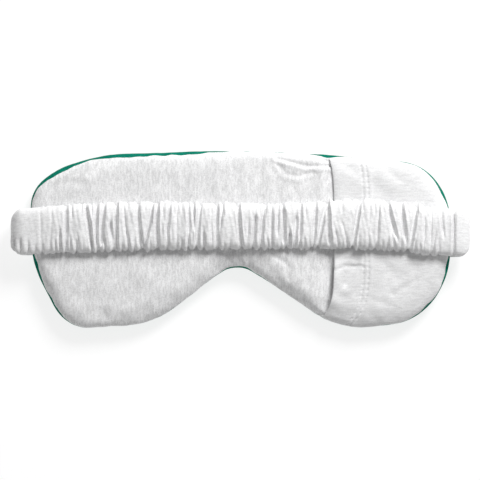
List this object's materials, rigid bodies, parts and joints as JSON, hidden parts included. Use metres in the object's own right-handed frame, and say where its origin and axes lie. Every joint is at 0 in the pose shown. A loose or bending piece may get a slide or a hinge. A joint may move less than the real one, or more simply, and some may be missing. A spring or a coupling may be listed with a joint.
{
  "type": "eye pillow",
  "caption": "Contoured eye pillow with a soft padded face, an overlapping envelope back that holds a removable seed pouch, and a gathered elastic head strap.",
  "frame": {"origin": "under the middle of the whole object, on the surface that the face cloth lies on", "axes": "+X runs across the eyes towards the side with the envelope flap, +Y from the cheeks to the brow, +Z from the face cloth to the strap"},
  "size_m": [0.251, 0.0969, 0.0194],
  "materials": {
    "face_cloth": "smooth teal-green brushed cloth",
    "back_jersey": "light heather grey jersey knit",
    "strap_jersey": "light heather grey jersey knit, gathered",
    "sewing_thread": "matte spun polyester thread",
    "wadding": "matte fibre wadding",
    "pouch_cotton": "unbleached plain-weave cotton",
    "seeds": "dry flax seeds, loose",
    "elastic": "white braided elastic"
  },
  "bodies": {
    "pillow": {"front_panel": "face_cloth", "wadding": "wadding", "back_panel_main": "back_jersey", "back_panel_flap": "back_jersey", "flap_hem_stitches": "sewing_thread", "main_hem_stitches": "sewing_thread", "side_seam_stitches": "sewing_thread", "pouch_front": "pouch_cotton", "pouch_back": "pouch_cotton", "pouch_divider": "pouch_cotton", "pouch_seam_stitches": "sewing_thread", "seed_fill_left": "seeds", "seed_fill_right": "seeds", "strap_end_left": "strap_jersey", "elastic_end_left": "elastic", "strap_tack_left": "sewing_thread", "strap_end_right": "strap_jersey", "elastic_end_right": "elastic", "strap_tack_right": "sewing_thread"},
    "strap": {"strap_casing": "strap_jersey", "strap_elastic": "elastic", "casing_seam_stitches": "sewing_thread"}
  },
  "joints": [
    {"name": "strap_lift", "type": "slide", "parent": "pillow", "child": "strap", "axis": [0, 0, 1], "range_m": [0, 0.15], "stiffness_N_per_m": 12}
  ]
}
